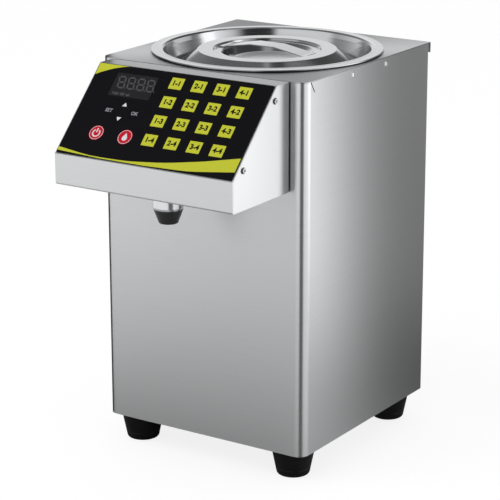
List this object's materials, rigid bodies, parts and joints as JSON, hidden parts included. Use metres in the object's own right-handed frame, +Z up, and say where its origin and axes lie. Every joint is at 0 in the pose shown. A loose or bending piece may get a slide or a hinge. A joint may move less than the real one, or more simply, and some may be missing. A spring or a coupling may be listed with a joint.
{
  "type": "fructose dispenser",
  "caption": "Countertop syrup dispenser: lidded heated tank in a brushed steel cabinet, sloping dose keypad over a downward nozzle, gear pump inside.",
  "frame": {"origin": "on the floor under the middle of the bounding box, between the four feet and the control box's overhang", "axes": "+Z up, the keypad and the nozzle face -Y, +X to the right of someone who stands in front of it"},
  "size_m": [0.2268, 0.3222, 0.388],
  "materials": {
    "brushed_stainless": "stainless sheet with a fine horizontal brushed grain",
    "galvanised_sheet": "dull zinc coated sheet",
    "black_rubber": "moulded black rubber",
    "zinc_plated_steel": "bright zinc plating",
    "stainless_fasteners": "bright stainless heads",
    "black_membrane": "satin black polyester film",
    "smoked_window": "smoked clear window",
    "black_module": "black potted display module",
    "circuit_board": "green solder mask",
    "drawn_stainless": "deep drawn stainless, fine circular marks",
    "white_silicone": "translucent white silicone",
    "silicone_heater": "reinforced silicone heating mat",
    "grey_foam": "closed cell foam",
    "polished_stainless": "spun stainless, polished",
    "turned_stainless": "turned stainless, polished",
    "black_nozzle": "black acetal",
    "clear_hose": "translucent food hose",
    "pump_steel": "machined stainless",
    "gear_steel": "hobbed stainless",
    "black_motor": "black painted can",
    "rotor_steel": "laminated steel",
    "supply_case": "folded aluminium case",
    "black_inlet": "moulded black plastic with metal blades",
    "red_rocker": "moulded plastic rocker",
    "lime_key": "printed yellow green film",
    "black_key": "printed black film with a white mark",
    "red_key": "printed red film with a pale ring"
  },
  "bodies": {
    "root": {"body_wrap": "brushed_stainless", "rear_panel": "brushed_stainless", "top_cover": "brushed_stainless", "control_box_tray": "brushed_stainless", "control_box_front": "brushed_stainless", "base_plate": "galvanised_sheet", "rubber_feet": "black_rubber", "foot_bolts": "zinc_plated_steel", "cabinet_rivets": "stainless_fasteners", "machine_screws": "stainless_fasteners", "membrane_overlay": "black_membrane", "display_window": "smoked_window", "display_module": "black_module", "keypad_board": "circuit_board", "tank": "drawn_stainless", "tank_gasket": "white_silicone", "heater_band": "silicone_heater", "insulation_sleeve": "grey_foam", "outlet_fitting": "turned_stainless", "nozzle_body": "turned_stainless", "nozzle_cone": "black_nozzle", "lock_nuts": "turned_stainless", "suction_hose": "clear_hose", "delivery_hose": "clear_hose", "hose_clamps": "zinc_plated_steel", "pump_housing": "pump_steel", "pump_cover": "pump_steel", "pump_ports": "turned_stainless", "motor_bracket": "galvanised_sheet", "motor_case": "black_motor", "power_supply": "supply_case", "power_inlet": "black_inlet"},
    "lid": {"lid_pan": "polished_stainless", "lid_handle": "polished_stainless"},
    "power_rocker": {"power_rocker": "red_rocker"},
    "pump_drive": {"drive_gear": "gear_steel", "motor_rotor": "rotor_steel"},
    "pump_idler": {"idler_gear": "gear_steel"},
    "dose_key_1_1": {"dose_key_1_1": "lime_key"},
    "dose_key_1_2": {"dose_key_1_2": "lime_key"},
    "dose_key_1_3": {"dose_key_1_3": "lime_key"},
    "dose_key_1_4": {"dose_key_1_4": "lime_key"},
    "dose_key_2_1": {"dose_key_2_1": "lime_key"},
    "dose_key_2_2": {"dose_key_2_2": "lime_key"},
    "dose_key_2_3": {"dose_key_2_3": "lime_key"},
    "dose_key_2_4": {"dose_key_2_4": "lime_key"},
    "dose_key_3_1": {"dose_key_3_1": "lime_key"},
    "dose_key_3_2": {"dose_key_3_2": "lime_key"},
    "dose_key_3_3": {"dose_key_3_3": "lime_key"},
    "dose_key_3_4": {"dose_key_3_4": "lime_key"},
    "dose_key_4_1": {"dose_key_4_1": "lime_key"},
    "dose_key_4_2": {"dose_key_4_2": "lime_key"},
    "dose_key_4_3": {"dose_key_4_3": "lime_key"},
    "dose_key_4_4": {"dose_key_4_4": "lime_key"},
    "up_key": {"up_key": "black_key"},
    "down_key": {"down_key": "black_key"},
    "set_key": {"set_key": "black_key"},
    "enter_key": {"enter_key": "black_key"},
    "power_key": {"power_key": "red_key"},
    "rinse_key": {"rinse_key": "red_key"}
  },
  "joints": [
    {"name": "lid_lift", "type": "slide", "parent": "root", "child": "lid", "axis": [0, 0, 1], "range_m": [0, 0.12]},
    {"name": "power_rocker_tilt", "type": "hinge", "parent": "root", "child": "power_rocker", "pos_m": [0.062, 0.1584, 0.1165], "axis": [0, 0, -1], "range_deg": [0, 12.5]},
    {"name": "pump_drive_spin", "type": "hinge", "parent": "root", "child": "pump_drive", "pos_m": [-0.056, 0, 0.0612], "axis": [0, 1, 0], "continuous": true},
    {"name": "pump_idler_spin", "type": "hinge", "parent": "root", "child": "pump_idler", "pos_m": [-0.056, 0, 0.0787], "axis": [0, 1, 0], "continuous": true},
    {"name": "dose_key_1_1_press", "type": "slide", "parent": "root", "child": "dose_key_1_1", "axis": [0, 0.7135, -0.7006], "range_m": [0, 0.0004], "stiffness_N_per_m": 300},
    {"name": "dose_key_1_2_press", "type": "slide", "parent": "root", "child": "dose_key_1_2", "axis": [0, 0.7135, -0.7006], "range_m": [0, 0.0004], "stiffness_N_per_m": 300},
    {"name": "dose_key_1_3_press", "type": "slide", "parent": "root", "child": "dose_key_1_3", "axis": [0, 0.7135, -0.7006], "range_m": [0, 0.0004], "stiffness_N_per_m": 300},
    {"name": "dose_key_1_4_press", "type": "slide", "parent": "root", "child": "dose_key_1_4", "axis": [0, 0.7135, -0.7006], "range_m": [0, 0.0004], "stiffness_N_per_m": 300},
    {"name": "dose_key_2_1_press", "type": "slide", "parent": "root", "child": "dose_key_2_1", "axis": [0, 0.7135, -0.7006], "range_m": [0, 0.0004], "stiffness_N_per_m": 300},
    {"name": "dose_key_2_2_press", "type": "slide", "parent": "root", "child": "dose_key_2_2", "axis": [0, 0.7135, -0.7006], "range_m": [0, 0.0004], "stiffness_N_per_m": 300},
    {"name": "dose_key_2_3_press", "type": "slide", "parent": "root", "child": "dose_key_2_3", "axis": [0, 0.7135, -0.7006], "range_m": [0, 0.0004], "stiffness_N_per_m": 300},
    {"name": "dose_key_2_4_press", "type": "slide", "parent": "root", "child": "dose_key_2_4", "axis": [0, 0.7135, -0.7006], "range_m": [0, 0.0004], "stiffness_N_per_m": 300},
    {"name": "dose_key_3_1_press", "type": "slide", "parent": "root", "child": "dose_key_3_1", "axis": [0, 0.7135, -0.7006], "range_m": [0, 0.0004], "stiffness_N_per_m": 300},
    {"name": "dose_key_3_2_press", "type": "slide", "parent": "root", "child": "dose_key_3_2", "axis": [0, 0.7135, -0.7006], "range_m": [0, 0.0004], "stiffness_N_per_m": 300},
    {"name": "dose_key_3_3_press", "type": "slide", "parent": "root", "child": "dose_key_3_3", "axis": [0, 0.7135, -0.7006], "range_m": [0, 0.0004], "stiffness_N_per_m": 300},
    {"name": "dose_key_3_4_press", "type": "slide", "parent": "root", "child": "dose_key_3_4", "axis": [0, 0.7135, -0.7006], "range_m": [0, 0.0004], "stiffness_N_per_m": 300},
    {"name": "dose_key_4_1_press", "type": "slide", "parent": "root", "child": "dose_key_4_1", "axis": [0, 0.7135, -0.7006], "range_m": [0, 0.0004], "stiffness_N_per_m": 300},
    {"name": "dose_key_4_2_press", "type": "slide", "parent": "root", "child": "dose_key_4_2", "axis": [0, 0.7135, -0.7006], "range_m": [0, 0.0004], "stiffness_N_per_m": 300},
    {"name": "dose_key_4_3_press", "type": "slide", "parent": "root", "child": "dose_key_4_3", "axis": [0, 0.7135, -0.7006], "range_m": [0, 0.0004], "stiffness_N_per_m": 300},
    {"name": "dose_key_4_4_press", "type": "slide", "parent": "root", "child": "dose_key_4_4", "axis": [0, 0.7135, -0.7006], "range_m": [0, 0.0004], "stiffness_N_per_m": 300},
    {"name": "up_key_press", "type": "slide", "parent": "root", "child": "up_key", "axis": [0, 0.7135, -0.7006], "range_m": [0, 0.0004], "stiffness_N_per_m": 300},
    {"name": "down_key_press", "type": "slide", "parent": "root", "child": "down_key", "axis": [0, 0.7135, -0.7006], "range_m": [0, 0.0004], "stiffness_N_per_m": 300},
    {"name": "set_key_press", "type": "slide", "parent": "root", "child": "set_key", "axis": [0, 0.7135, -0.7006], "range_m": [0, 0.0004], "stiffness_N_per_m": 300},
    {"name": "enter_key_press", "type": "slide", "parent": "root", "child": "enter_key", "axis": [0, 0.7135, -0.7006], "range_m": [0, 0.0004], "stiffness_N_per_m": 300},
    {"name": "power_key_press", "type": "slide", "parent": "root", "child": "power_key", "axis": [0, 0.7135, -0.7006], "range_m": [0, 0.0004], "stiffness_N_per_m": 300},
    {"name": "rinse_key_press", "type": "slide", "parent": "root", "child": "rinse_key", "axis": [0, 0.7135, -0.7006], "range_m": [0, 0.0004], "stiffness_N_per_m": 300}
  ],
  "couplings": [
    {"joint": "pump_idler_spin", "follows": "pump_drive_spin", "ratio": -1}
  ]
}
